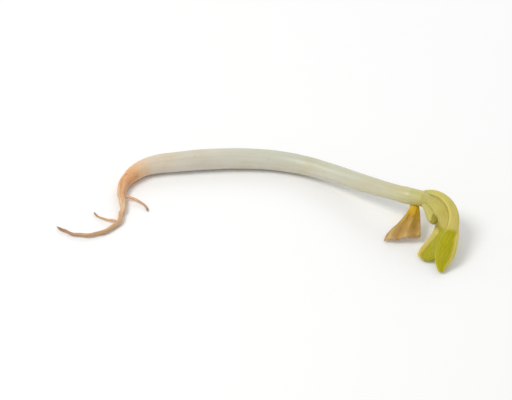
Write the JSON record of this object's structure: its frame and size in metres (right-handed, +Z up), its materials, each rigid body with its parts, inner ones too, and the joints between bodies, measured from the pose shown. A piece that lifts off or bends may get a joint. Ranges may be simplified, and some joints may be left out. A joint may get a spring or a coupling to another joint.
{
  "type": "mung bean sprout",
  "caption": "Fresh mung bean sprout lying on a surface: curved white stem, tapered tan root, withered seed half and a hooked head of green leaves.",
  "frame": {"origin": "middle of the sprout's box, on the surface that it lies on", "axes": "+X along the sprout from root to head, +Y towards the back of its curve, +Z up"},
  "size_m": [0.0566, 0.0253, 0.0057],
  "materials": {
    "stem_white": "satin",
    "root_tan": "satin",
    "neck_green": "satin",
    "leaf_green": "satin",
    "seed_yellow": "satin",
    "bud_olive": "satin"
  },
  "bodies": {
    "root": {"hypocotyl": "stem_white", "taproot": "root_tan", "lateral_rootlet_upper": "root_tan", "lateral_rootlet_lower": "root_tan", "epicotyl": "neck_green", "outer_leaf": "leaf_green", "inner_leaf": "leaf_green", "cotyledon": "seed_yellow", "terminal_bud": "bud_olive"}
  },
  "joints": []
}
